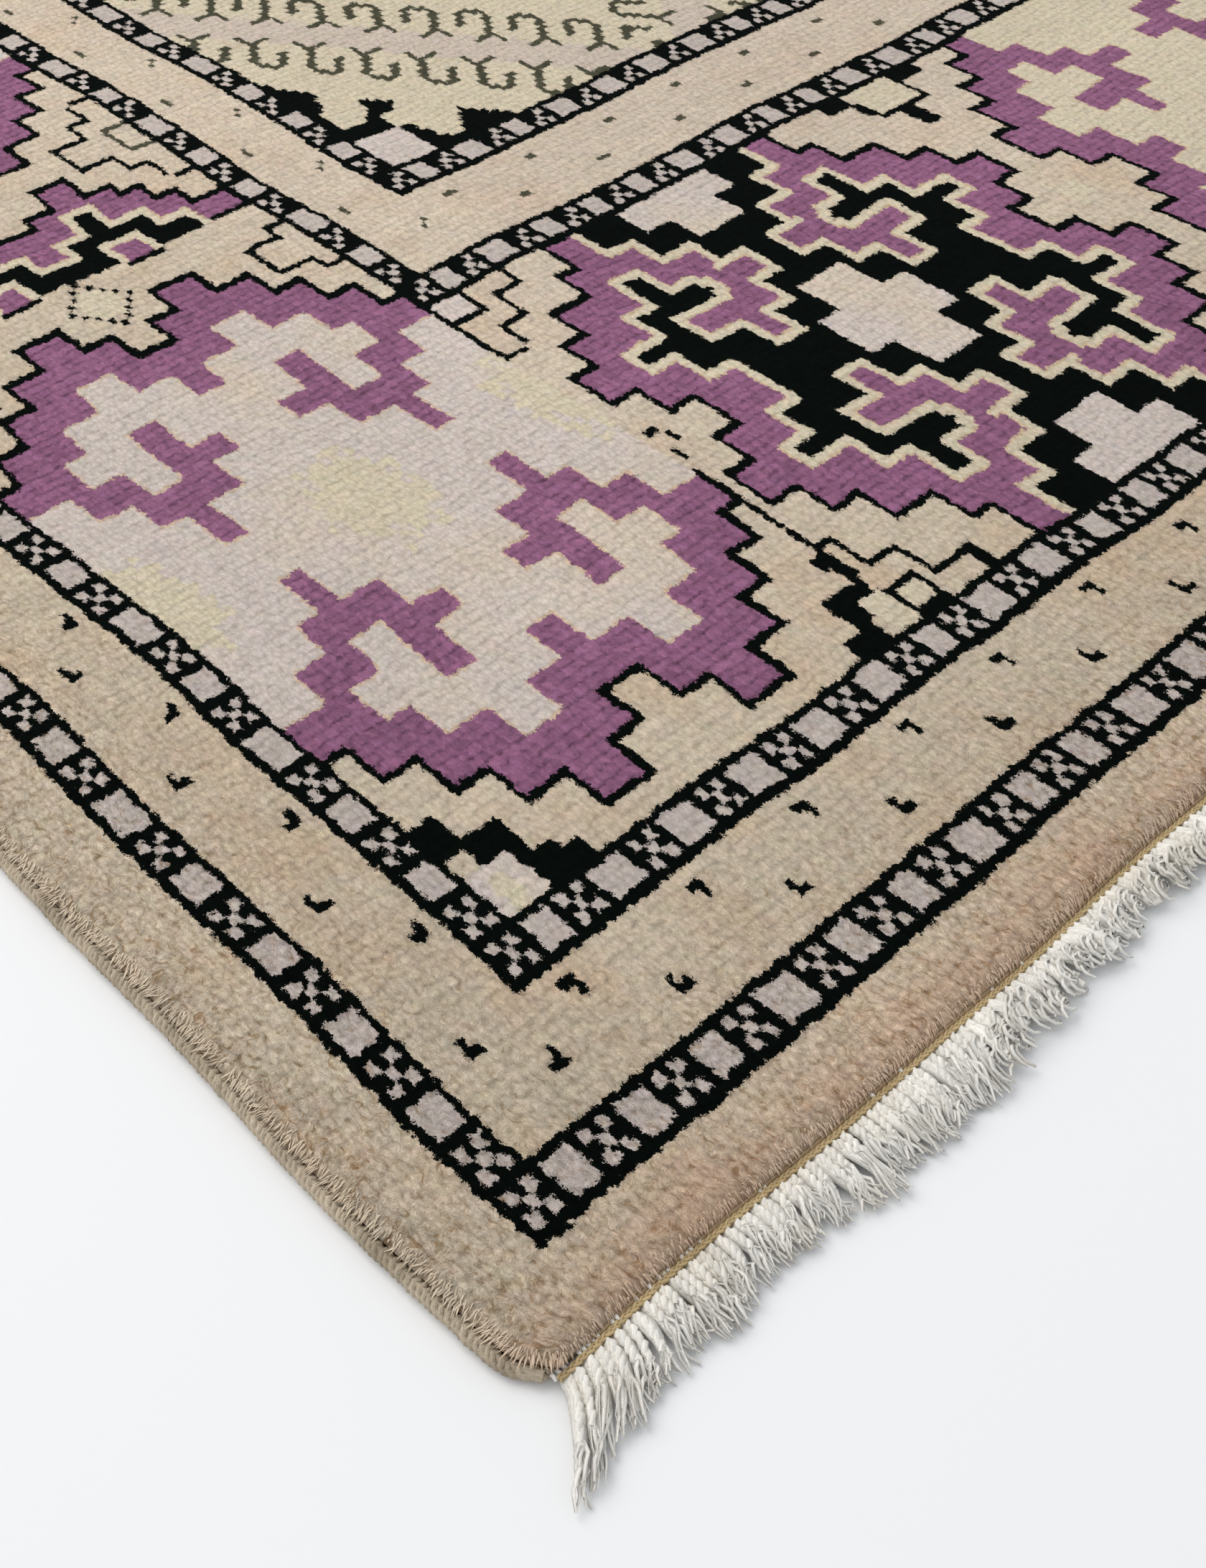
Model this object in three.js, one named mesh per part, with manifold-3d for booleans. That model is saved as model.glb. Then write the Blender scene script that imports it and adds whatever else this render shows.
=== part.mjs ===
// A hand-knotted village rug, lying flat: a wool pile body with a gently wavy outline, an overcast
// selvedge along each long side, a chain-stitched finish across each end, and a short cotton fringe.
// Units are millimetres, +Z is up, X runs across the rug and Y along it. The origin is the middle of
// the underside.

import * as THREE from 'three';
import Module from 'manifold-3d';
import { mergeVertices } from 'three/addons/utils/BufferGeometryUtils.js';

// The knot grid sets the size of the cloth
const KNOT_PITCH = 3.7;
const ROW_PITCH = 5.15;
const KNOTS_ACROSS = 404;
const ROWS_ALONG = 438;
const CLOTH_WIDTH = KNOTS_ACROSS * KNOT_PITCH;
const CLOTH_LENGTH = ROWS_ALONG * ROW_PITCH;

// Thickness of the foundation and of the pile that stands on it
const FOUNDATION = 3.0;
const PILE = 6.0;
const RUG_THICKNESS = FOUNDATION + PILE;

// Clear space between neighbouring pieces
const GAP = 0.3;

// Edge pieces
const SELVEDGE_WIDTH = 6.2;
const SELVEDGE_HEIGHT = 7.4;
const SELVEDGE_SIDES = 8;
const FINISH_WIDTH = 4.6;
const FINISH_HEIGHT = 3.2;
const FINISH_CHAMFER = 0.9;

// Fringe: locks of warp yarn that share one narrow root strip at each end
const ROOT_STRIP_WIDTH = 1.6;
const ROOT_STRIP_HEIGHT = 1.8;
const LOCK_COUNT = 120;
const LOCK_LENGTH = 20.5;
const LOCK_WIDTH = 10.2;
const LOCK_HEIGHT = 2.6;
const LOCK_ROOT_OVERLAP = 0.8;

// The real edges are not straight. Each row is one slow wave, in millimetres and radians, and the
// waves are added. The side is measured from its near end, the end from its left corner.
const SIDE_WAVES = [
  { length: 1130, height: 1.5, phase: 1.13 },
  { length: 415, height: 1.2, phase: 0.36 },
  { length: 160, height: 0.8, phase: -1.57 },
];
const END_WAVES = [
  { length: 780, height: 1.2, phase: 3.6 },
  { length: 262, height: 1.1, phase: 3.9 },
  { length: 104, height: 0.4, phase: 1.0 },
];
const SIDE_STEPS = 52;
const END_STEPS = 42;

// Each corner is drawn in and rounded over this stretch
const CORNER_REACH = 15;
const CORNER_DRAW = 7.5;
const CORNER_STEPS = 4;

// How one end's locks vary: lengths and leans run in slow waves along the end
const LOCK_LENGTH_WAVES = [
  { length: 210, height: 2.2, phase: 0.4 },
  { length: 57, height: 1.7, phase: 2.2 },
  { length: 31, height: 1.2, phase: 5.0 },
];
const LOCK_LEAN_WAVES = [
  { length: 330, height: 2.0, phase: 3.4 },
  { length: 90, height: 1.1, phase: 0.7 },
];
// The outermost locks at each corner splay outward and are left longer, listed from the corner in
const CORNER_LOCKS = [
  { splay: 15.5, extra: 5.5 },
  { splay: 8.0, extra: 3.5 },
  { splay: 4.2, extra: 2.0 },
  { splay: 2.0, extra: 0.8 },
];
// Stations along a lock: share of its length, of its splay, of its width and of its height
const LOCK_STATIONS = [
  { along: 0.0, splay: 0.0, width: 0.94, height: 0.70 },
  { along: 0.4, splay: 0.28, width: 1.0, height: 1.0 },
  { along: 1.0, splay: 1.0, width: 0.74, height: 0.55 },
];
const LOCK_TOP_SHARE = 0.62;

// Colours and surfaces
const PILE_COLOUR = 0xcbb79d;
const SELVEDGE_COLOUR = 0xa8937a;
const FINISH_COLOUR = 0xa89268;
const FRINGE_COLOUR = 0xd9d4c9;
const WOOL_ROUGHNESS = 0.95;
const COTTON_ROUGHNESS = 0.9;

function addWaves(waves, at) {
  return waves.reduce((sum, w) => sum + w.height * Math.sin((2 * Math.PI * at) / w.length + w.phase), 0);
}

// Distance that a corner is drawn in, seen at a distance from the end of the cloth
function cornerDraw(fromEnd) {
  const share = Math.max(0, 1 - fromEnd / CORNER_REACH);
  return CORNER_DRAW * share * share;
}

// Left edge of the cloth at y, and near edge of the cloth at x. The right edge and the far edge are
// these two turned half a turn about the middle.
function leftEdge(y) {
  const fromNear = y + CLOTH_LENGTH / 2;
  const fromEnd = Math.max(0, Math.min(fromNear, CLOTH_LENGTH - fromNear));
  return -(CLOTH_WIDTH / 2 + addWaves(SIDE_WAVES, fromNear) - cornerDraw(fromEnd));
}

function nearEdge(x) {
  return -(CLOTH_LENGTH / 2 + addWaves(END_WAVES, x + CLOTH_WIDTH / 2));
}

// Places along a span: close together over the corner stretches, evenly spaced between them
function spacedAlong(half, steps) {
  const places = [];
  for (let i = 0; i < CORNER_STEPS; i += 1) {
    places.push(-half + (CORNER_REACH * i) / CORNER_STEPS);
  }
  const inner = half - CORNER_REACH;
  for (let i = 0; i <= steps; i += 1) {
    places.push(-inner + (2 * inner * i) / steps);
  }
  for (let i = CORNER_STEPS - 1; i >= 0; i -= 1) {
    places.push(half - (CORNER_REACH * i) / CORNER_STEPS);
  }
  return places;
}

// Stations up the left side of the cloth, near to far: a point on the edge and the outward direction
function sideStations() {
  const nearY = nearEdge(leftEdge(-CLOTH_LENGTH / 2));
  const farY = -nearEdge(-leftEdge(CLOTH_LENGTH / 2));
  const points = spacedAlong(CLOTH_LENGTH / 2, SIDE_STEPS).map((y) => {
    const share = (y + CLOTH_LENGTH / 2) / CLOTH_LENGTH;
    return new THREE.Vector2(leftEdge(y), nearY + (farY - nearY) * share);
  });
  return points.map((point, i) => {
    const before = points[Math.max(0, i - 1)];
    const after = points[Math.min(points.length - 1, i + 1)];
    const along = after.clone().sub(before).normalize();
    return { point, outward: new THREE.Vector2(-along.y, along.x) };
  });
}

function halfTurn(point) {
  return new THREE.Vector2(-point.x, -point.y);
}

// Outline of the cloth, anticlockwise from its far left corner: down the left side, across the near
// end, and the same two turned half a turn
function clothOutline() {
  const left = sideStations().reverse().map((station) => station.point);
  const startX = leftEdge(-CLOTH_LENGTH / 2);
  const endX = -leftEdge(CLOTH_LENGTH / 2);
  const nearEnd = [];
  for (let i = 1; i < END_STEPS; i += 1) {
    const x = startX + ((endX - startX) * i) / END_STEPS;
    nearEnd.push(new THREE.Vector2(x, nearEdge(x)));
  }
  const half = [...left, ...nearEnd];
  return [...half, ...half.map(halfTurn)];
}

// Moves a closed outline inward by a distance, each point along the mean normal of its two edges
function insetOutline(outline, distance) {
  return outline.map((point, i) => {
    const before = outline[(i + outline.length - 1) % outline.length];
    const after = outline[(i + 1) % outline.length];
    const along = after.clone().sub(before).normalize();
    return new THREE.Vector2(point.x - along.y * distance, point.y + along.x * distance);
  });
}

// Closed solid from a stack of rings with equal point counts, closed by a flat cap at each end.
// Rings run anticlockwise seen from the side that the stack grows towards.
function stackSolid(rings, capOutline) {
  const count = rings[0].length;
  const positions = rings.flat().flatMap((p) => [p.x, p.y, p.z]);
  const index = [];
  for (let r = 0; r + 1 < rings.length; r += 1) {
    for (let i = 0; i < count; i += 1) {
      const next = (i + 1) % count;
      const a = r * count + i;
      const b = r * count + next;
      const c = a + count;
      const d = b + count;
      index.push(a, b, d, a, d, c);
    }
  }
  const last = (rings.length - 1) * count;
  THREE.ShapeUtils.triangulateShape(capOutline, []).forEach(([a, b, c]) => {
    index.push(a, c, b);
    index.push(last + a, last + b, last + c);
  });
  const geometry = new THREE.BufferGeometry();
  geometry.setAttribute('position', new THREE.Float32BufferAttribute(positions, 3));
  geometry.setIndex(index);
  return geometry;
}

// Bar that follows stations. Each station gives the bar's section as points in a plane that stands
// across its run, seen from its end so that they go anticlockwise.
function barSolid(sections) {
  const capOutline = sections[0].flat.map(([s, z]) => new THREE.Vector2(s, z));
  return stackSolid(sections.map((section) => section.points), capOutline);
}

function flatToPoints(flat, middle, across) {
  return flat.map(([s, z]) => new THREE.Vector3(middle.x + across.x * s, middle.y + across.y * s, z));
}

// The pile body: foundation and pile as one slab, its rim rounded over where the pile falls away
function pileBodyGeometry() {
  const outline = clothOutline();
  const rim = [
    { inset: 0.8, z: 0 },
    { inset: 0, z: 0.8 },
    { inset: 0, z: RUG_THICKNESS * 0.55 },
    { inset: 0.9, z: RUG_THICKNESS * 0.84 },
    { inset: 2.8, z: RUG_THICKNESS },
  ];
  const rings = rim.map((step) => insetOutline(outline, step.inset)
    .map((p) => new THREE.Vector3(p.x, p.y, step.z)));
  return stackSolid(rings, outline);
}

// The selvedge: side warps bound with overcast wool, a rounded cord with a flat underside that
// follows the left edge of the cloth from end to end
function selvedgeGeometry() {
  const flat = [];
  for (let i = 0; i < SELVEDGE_SIDES; i += 1) {
    const angle = (2 * Math.PI * (i + 0.5)) / SELVEDGE_SIDES - Math.PI / 2;
    const s = (Math.cos(angle) * SELVEDGE_WIDTH) / 2;
    const z = ((1 + Math.sin(angle)) * SELVEDGE_HEIGHT) / 2;
    flat.push([s, z]);
  }
  const lowest = Math.min(...flat.map(([, z]) => z));
  const seated = flat.map(([s, z]) => [s, z - lowest]);
  const sections = sideStations().map(({ point, outward }) => {
    const middle = point.clone().addScaledVector(outward, GAP + SELVEDGE_WIDTH / 2);
    return { flat: seated, points: flatToPoints(seated, middle, outward) };
  });
  return barSolid(sections);
}

// The end finish: bare warps and a row of chain stitch that lock the last weft in place
function finishGeometry() {
  const half = FINISH_WIDTH / 2;
  const flat = [
    [-half, 0],
    [half, 0],
    [half, FINISH_HEIGHT - FINISH_CHAMFER],
    [half - FINISH_CHAMFER, FINISH_HEIGHT],
    [-half + FINISH_CHAMFER, FINISH_HEIGHT],
    [-half, FINISH_HEIGHT - FINISH_CHAMFER],
  ];
  const across = new THREE.Vector2(0, 1);
  return barSolid(endStations(GAP + half).map((middle) => (
    { flat, points: flatToPoints(flat, middle, across) })));
}

// Stations across the near end, a distance outside the edge of the cloth
function endStations(outside) {
  const startX = leftEdge(-CLOTH_LENGTH / 2);
  const endX = -leftEdge(CLOTH_LENGTH / 2);
  const stations = [];
  for (let i = 0; i <= END_STEPS; i += 1) {
    const x = startX + ((endX - startX) * i) / END_STEPS;
    stations.push(new THREE.Vector2(x, nearEdge(x) - outside));
  }
  return stations;
}

// One lock of the fringe, lying level on the surface: four sides, flat below and narrower on top
function lockGeometry(root, length, splay) {
  const sections = LOCK_STATIONS.map((station) => {
    const width = LOCK_WIDTH * station.width;
    const height = LOCK_HEIGHT * station.height;
    const half = width / 2;
    const top = half * LOCK_TOP_SHARE;
    const flat = [[-half, 0], [half, 0], [top, height], [-top, height]];
    const middle = new THREE.Vector2(root.x + splay * station.splay, root.y - length * station.along);
    return { flat, points: flatToPoints(flat, middle, new THREE.Vector2(1, 0)) };
  });
  return barSolid(sections);
}

function rootStripGeometry(outside) {
  const half = ROOT_STRIP_WIDTH / 2;
  const flat = [[-half, 0], [half, 0], [half, ROOT_STRIP_HEIGHT], [-half, ROOT_STRIP_HEIGHT]];
  return barSolid(endStations(outside).map((middle) => (
    { flat, points: flatToPoints(flat, middle, new THREE.Vector2(0, 1)) })));
}

const wasm = await Module();
wasm.setup();

function toManifold(geometry) {
  const bare = geometry.clone();
  bare.deleteAttribute('normal');
  bare.deleteAttribute('uv');
  const merged = mergeVertices(bare);
  return new wasm.Manifold(new wasm.Mesh({
    numProp: 3,
    vertProperties: Float32Array.from(merged.attributes.position.array),
    triVerts: Uint32Array.from(merged.index.array),
  }));
}

function fromManifold(solid) {
  const mesh = solid.getMesh();
  const geometry = new THREE.BufferGeometry();
  geometry.setAttribute('position', new THREE.BufferAttribute(mesh.vertProperties, 3));
  geometry.setIndex(new THREE.BufferAttribute(mesh.triVerts, 1));
  return geometry;
}

// The fringe of the near end: locks joined at their roots to one narrow strip
function fringeGeometry() {
  const outside = GAP + FINISH_WIDTH + GAP + ROOT_STRIP_WIDTH / 2;
  const startX = leftEdge(-CLOTH_LENGTH / 2) + LOCK_WIDTH / 2;
  const endX = -leftEdge(CLOTH_LENGTH / 2) - LOCK_WIDTH / 2;
  let solid = toManifold(rootStripGeometry(outside));
  for (let i = 0; i < LOCK_COUNT; i += 1) {
    const x = startX + ((endX - startX) * i) / (LOCK_COUNT - 1);
    const along = x + CLOTH_WIDTH / 2;
    const fromCorner = Math.min(i, LOCK_COUNT - 1 - i);
    const outward = i < LOCK_COUNT / 2 ? -1 : 1;
    const corner = CORNER_LOCKS[fromCorner] ?? { splay: 0, extra: 0 };
    const rootY = nearEdge(x) - outside - ROOT_STRIP_WIDTH / 2 + LOCK_ROOT_OVERLAP;
    const length = LOCK_ROOT_OVERLAP + LOCK_LENGTH + addWaves(LOCK_LENGTH_WAVES, along) + corner.extra;
    const splay = corner.splay > 0 ? outward * corner.splay : addWaves(LOCK_LEAN_WAVES, along);
    solid = solid.add(toManifold(lockGeometry(new THREE.Vector2(x, rootY), length, splay)));
  }
  return fromManifold(solid);
}

function material(colour, roughness) {
  return new THREE.MeshStandardMaterial({ color: colour, roughness, metalness: 0 });
}

function piece(name, geometry, surface, turned = false) {
  const mesh = new THREE.Mesh(geometry, surface);
  mesh.name = name;
  mesh.rotation.z = turned ? Math.PI : 0;
  return mesh;
}

const rug = new THREE.Group();
rug.add(piece('pile_body', pileBodyGeometry(), material(PILE_COLOUR, WOOL_ROUGHNESS)));

const selvedge = selvedgeGeometry();
rug.add(piece('selvedge_left', selvedge, material(SELVEDGE_COLOUR, WOOL_ROUGHNESS)));
rug.add(piece('selvedge_right', selvedge, material(SELVEDGE_COLOUR, WOOL_ROUGHNESS), true));

const finish = finishGeometry();
rug.add(piece('end_finish_near', finish, material(FINISH_COLOUR, COTTON_ROUGHNESS)));
rug.add(piece('end_finish_far', finish, material(FINISH_COLOUR, COTTON_ROUGHNESS), true));

const fringe = fringeGeometry();
rug.add(piece('fringe_near', fringe, material(FRINGE_COLOUR, COTTON_ROUGHNESS)));
rug.add(piece('fringe_far', fringe, material(FRINGE_COLOUR, COTTON_ROUGHNESS), true));

export default rug;
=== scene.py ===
import math

import bpy
import numpy as np
from mathutils import Matrix


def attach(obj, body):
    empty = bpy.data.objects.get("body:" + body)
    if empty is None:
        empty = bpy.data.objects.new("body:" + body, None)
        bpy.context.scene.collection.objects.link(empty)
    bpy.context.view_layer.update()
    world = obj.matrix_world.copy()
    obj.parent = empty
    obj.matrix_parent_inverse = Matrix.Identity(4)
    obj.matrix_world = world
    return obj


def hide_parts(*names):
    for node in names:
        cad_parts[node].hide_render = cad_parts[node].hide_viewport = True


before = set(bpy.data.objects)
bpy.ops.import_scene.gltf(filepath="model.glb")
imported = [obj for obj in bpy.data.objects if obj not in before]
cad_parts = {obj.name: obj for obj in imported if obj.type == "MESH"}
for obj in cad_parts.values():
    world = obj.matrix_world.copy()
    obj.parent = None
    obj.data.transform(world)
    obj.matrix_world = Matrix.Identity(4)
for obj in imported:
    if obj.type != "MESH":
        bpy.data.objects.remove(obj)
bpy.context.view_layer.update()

# Knotted pile: wool knots, 404 across and 438 rows long, tied on a cotton foundation and clipped to 6 mm.
# The weaver's chart below says which of eight dyed wools each knot is tied in. The mesh has one face for
# every four knots by four rows, and the face hands its own knots and one ring round them to the material.
MM = 0.001
KNOT, ROW = 3.7, 5.15  # mm from knot to knot across the rug, and from row to row along it
ACROSS, ALONG = 404, 438
HALF_WIDTH, HALF_LENGTH = KNOT * ACROSS / 2, ROW * ALONG / 2
SIDE_WAVES = ((1130, 1.5, 1.13), (415, 1.2, 0.36), (160, 0.8, -1.57))  # length, height, phase, in mm
END_WAVES = ((780, 1.2, 3.6), (262, 1.1, 3.9), (104, 0.4, 1.0))
CORNER_REACH, CORNER_DRAW = 15, 7.5  # the corners are drawn in over this length, by this much
BEIGE, BLACK, IVORY, PURPLE, CREAM, LILAC, MOSS, ROSE = range(8)  # the dyed wools
rng = np.random.default_rng(40)

# the chart of one quarter, from the near left corner. Every bar is wool, knots from and to, rows from and to
HALF_ACROSS, HALF_ALONG, SPARE = ACROSS // 2, ALONG // 2, 60
BANDS = (  # knots in from the side, rows in from the end, and the wool inside that line
    (7, 5, BLACK), (12, 10, BEIGE), (22, 19, BLACK), (27, 24, BEIGE),
    (83, 80, BLACK), (88, 85, BEIGE), (98, 96, BLACK), (103, 101, CREAM),
)
FIELD_SIDE, FIELD_END = BANDS[-1][:2]
quarter = np.full((HALF_ALONG + SPARE, HALF_ACROSS + SPARE), BEIGE)
for side, end, wool in BANDS:
    quarter[end:, side:] = wool


def tie(bars, into):
    """Ties each bar of knots: wool, knots from and to, rows from and to."""
    for wool, u0, u1, v0, v1 in bars:
        into[v0:v1, u0:u1] = wool


def beside(mask):
    """The knots that touch a marked one, corners too."""
    wide = np.pad(mask, 1)
    rows, knots = mask.shape
    return np.any([wide[v:v + rows, u:u + knots] for v in range(3) for u in range(3)], axis=0)


def medallion(bars):
    """A whole medallion from its quarter, counted from the middle outwards. The purple is lined with black
    outside, and with cream against a black ground."""
    wide, high = (1 + max(bar[side] for bar in bars) for side in (2, 4))
    part = np.full((high, wide), -1)
    tie(bars, part)
    whole = np.block([[part[::-1, ::-1], part[::-1]], [part[:, ::-1], part]])
    lined = beside(whole == PURPLE)
    whole[lined & (whole == BLACK)] = CREAM
    whole[lined & (whole == -1)] = BLACK
    return whole


def place_figure(figure, middle_u, low):
    """Ties a figure on its middle line, from this row up. It leaves what its empty knots cover."""
    rows, knots = figure.shape
    under = quarter[low:low + rows, middle_u - knots // 2:middle_u + knots // 2]
    under[figure >= 0] = figure[figure >= 0]


def dyed_bars(wool, *bars):
    return [(wool, *bar) for bar in bars]


upright = medallion(dyed_bars(
    IVORY, (0, 28, 0, 20), (0, 25, 20, 24), (0, 21, 24, 28), (3, 17, 28, 32), (7, 12, 32, 36),
) + dyed_bars(
    PURPLE, (13, 16, 3, 8), (8, 19, 8, 12), (16, 23, 12, 16), (20, 28, 16, 20), (17, 25, 20, 24),
    (12, 21, 24, 28), (0, 7, 24, 28), (0, 2, 20, 24), (3, 17, 28, 32), (7, 12, 32, 36), (8, 12, 12, 20),
    (4, 8, 12, 15),
))
lying = medallion(dyed_bars(
    BLACK, (0, 29, 0, 3), (0, 33, 3, 7), (0, 37, 7, 11), (0, 33, 11, 15), (0, 29, 15, 19), (0, 23, 19, 23),
    (0, 20, 23, 28),
) + dyed_bars(
    PURPLE, (22, 29, 0, 3), (26, 33, 3, 7), (30, 37, 7, 11), (24, 33, 11, 15), (20, 29, 15, 19), (20, 23, 19, 20),
    (12, 23, 20, 23), (16, 20, 23, 28), (11, 14, 4, 8), (7, 19, 8, 11), (7, 11, 11, 12), (3, 10, 12, 15),
    (8, 11, 15, 16), (7, 15, 16, 19), (12, 15, 19, 20),
) + dyed_bars(IVORY, (0, 8, 0, 3), (0, 4, 0, 8), (0, 8, 24, 28), (0, 4, 20, 28)))
squat = medallion(dyed_bars(
    PURPLE, (0, 18, 4, 10), (16, 21, 3, 7), (17, 26, 1, 4), (3, 15, 8, 12), (7, 11, 12, 16),
) + dyed_bars(BLACK, (0, 20, 0, 4), (2, 16, 4, 7), (6, 11, 7, 11)) + [(CREAM, 6, 12, 0, 4), (PURPLE, 7, 11, 0, 3)])
MIDDLE_ACROSS = 55  # the line that the side medallions stand on
YELLOW_AT = (27, MIDDLE_ACROSS, 83)  # the ivory yellows here, a knot here and there
UPRIGHT_AT, END_LINE, BLACK_AT = (63, 163), 52, 123  # medallion middles, in rows and in knots
SQUAT_AT, SQUAT_LOW = 57, 105  # the top half of a squat figure, fitted where a whole one is too long
for row in UPRIGHT_AT:
    place_figure(upright, MIDDLE_ACROSS, row - len(upright) // 2)
    for middle in YELLOW_AT:
        v, u = np.mgrid[row - 9:row + 9, middle - 8:middle + 8]
        out = ((u - middle + 0.5) / 6) ** 2 + ((v - row + 0.5) / 7) ** 2
        mixed = (out + rng.uniform(-0.5, 0.5, u.shape) < 0.9) & (quarter[v, u] == IVORY)
        quarter[v[mixed], u[mixed]] = CREAM
place_figure(squat[len(squat) // 2:], SQUAT_AT, SQUAT_LOW)
tie(dyed_bars(BLACK, (63, 69, 104, 105), (45, 51, 104, 105)), quarter)
place_figure(squat, SQUAT_AT, HALF_ALONG - len(squat) // 2)
place_figure(lying, BLACK_AT, END_LINE - len(lying) // 2)
place_figure(np.where(upright.T == IVORY, CREAM, upright.T), HALF_ACROSS, END_LINE - upright.shape[1] // 2)
for side, end, wool in BANDS[4:]:  # the bands inside cover what the outlines overran
    quarter[end:, side:] = wool

FILLERS = (  # small figures between the medallions
    (BLACK, 27, 30, 30, 34), (BLACK, 29, 34, 28, 31), (IVORY, 27, 32, 24, 28), (CREAM, 28, 30, 24, 27),
    (BLACK, 32, 38, 24, 26), (BLACK, 32, 36, 26, 27), (BLACK, 32, 34, 27, 29),
    (BLACK, 74, 79, 24, 26), (BLACK, 77, 80, 26, 30), (BLACK, 77, 83, 28, 30), (BLACK, 82, 84, 30, 34),
    (BLACK, 81, 82, 32, 34), (BLACK, 83, 86, 34, 35), (BLACK, 85, 86, 31, 34), (BLACK, 85, 90, 30, 31),
    (BLACK, 89, 90, 27, 30), (BLACK, 89, 94, 26, 27), (BLACK, 94, 96, 24, 27), (BEIGE, 84, 85, 32, 34),
    (CREAM, 80, 83, 24, 28), (BLACK, 83, 88, 24, 28), (CREAM, 84, 87, 25, 27),
    (BLACK, 83, 84, 35, 42), (BLACK, 84, 86, 53, 54), (BLACK, 86, 87, 51, 53), (BLACK, 84, 85, 49, 51),
    (BLACK, 83, 84, 70, 78), (BLACK, 83, 87, 69, 70), (BLACK, 87, 88, 70, 73), (BLACK, 87, 92, 73, 74),
    (BLACK, 91, 92, 74, 78), (BLACK, 91, 96, 77, 78), (BLACK, 95, 96, 78, 80), (BLACK, 83, 89, 76, 80),
    (IVORY, 84, 88, 77, 80),
    (BLACK, 154, 159, 78, 80), (BLACK, 158, 160, 75, 78), (BLACK, 159, 169, 74, 75), (BLACK, 168, 174, 78, 80),
    (BLACK, 168, 169, 75, 78), (CREAM, 160, 168, 75, 80), (BLACK, 162, 165, 70, 74),
    (BLACK, 154, 159, 24, 26), (BLACK, 158, 160, 26, 29), (BLACK, 159, 169, 29, 30), (BLACK, 168, 174, 24, 26),
    (BLACK, 168, 169, 26, 29), (CREAM, 160, 168, 24, 29), (BLACK, 162, 165, 30, 34), (CREAM, 160, 164, 50, 54),
)
tie(FILLERS, quarter)
# stepped lines from the guard stripes on both sides: knots from and to, and rows out from their middle row
LONG_STEPS = (
    (80, 84, 9, 10), (79, 80, 6, 9), (76, 80, 5, 6), (76, 77, 3, 5), (72, 77, 2, 3), (71, 72, 0, 3),
)
SHORT_STEPS = ((80, 83, 2, 3), (79, 80, 0, 3))
BRACKETS = (  # middle row, wool and steps
    (96, BLACK, ((80, 84, 4, 5), (80, 81, 2, 4), (76, 81, 2, 3), (75, 76, 0, 3))),
    (124, BLACK, LONG_STEPS), (124, MOSS, SHORT_STEPS), (201, BLACK, LONG_STEPS), (201, MOSS, SHORT_STEPS),
)
for middle, wool, steps in BRACKETS:
    for u0, u1, v0, v1 in steps:
        for low, high in ((middle + v0, middle + v1), (middle - v1, middle - v0)):
            mirrored = (2 * MIDDLE_ACROSS - u1, 2 * MIDDLE_ACROSS - u0)
            tie([(wool, u0, u1, low, high), (wool, *mirrored, low, high)], quarter)
LOZENGE_AT, LOZENGE_REACH = 100, 4  # a dotted lozenge over the corner medallion
tie([(CREAM, MIDDLE_ACROSS - 2, MIDDLE_ACROSS + 3, LOZENGE_AT - 2, LOZENGE_AT + 3)], quarter)
for out in range(LOZENGE_REACH + 1):
    for row in (LOZENGE_AT - LOZENGE_REACH + out, LOZENGE_AT + LOZENGE_REACH - out):
        quarter[row, [MIDDLE_ACROSS - out, MIDDLE_ACROSS + out]] = BLACK

# field: lozenges of rose spines with moss hooks on both sides, repeated every 99 knots and 118 rows
FOLD_ACROSS, FOLD_ALONG = 99, 118
SPINES, SPINE_REACH, HOOK_STEP = (42, 79), 4, 5
HOOK = (  # a foot, a stem, the arm, and its end that curls back beside it
    (0, 0), (1, 0), (2, 0), (3, 0), (0, 1), (0, 2), (0, -1), (-1, -1), (-1, -2), (-2, -2), (-2, -3),
    (-3, -3), (-3, -4), (-3, -5), (-2, -5), (-2, -6), (-1, -6), (0, -6), (0, -5), (1, -5), (1, -4), (2, -4),
)
net = np.full((FOLD_ALONG // 2 + 20, FOLD_ACROSS // 2 + 20), CREAM)
steps_in = np.add.outer(np.arange(net.shape[0]), np.arange(net.shape[1]))
for spine in SPINES:
    net[np.abs(steps_in - spine) <= SPINE_REACH] = ROSE
    for at in range(-9, spine + 12, HOOK_STEP):
        for turn, (u, v) in ((1, (at, spine - 6 - at)), (-1, (at + 3, spine + 3 - at))):
            for du, dv in HOOK:
                knot, row = u + turn * du, v + turn * dv
                if 0 <= knot < net.shape[1] and 0 <= row < net.shape[0]:
                    net[row, knot] = MOSS
fold_u = np.abs((np.arange(HALF_ACROSS - FIELD_SIDE) + FOLD_ACROSS // 2) % FOLD_ACROSS - FOLD_ACROSS // 2)
fold_v = np.abs((np.arange(HALF_ALONG - FIELD_END) + FOLD_ALONG // 2) % FOLD_ALONG - FOLD_ALONG // 2)
quarter[FIELD_END:HALF_ALONG, FIELD_SIDE:HALF_ACROSS] = net[np.ix_(fold_v, fold_u)]
quarter[FIELD_END:FIELD_END + 20, FIELD_SIDE:FIELD_SIDE + 22][steps_in[:20, :22] < 22] = CREAM
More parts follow.
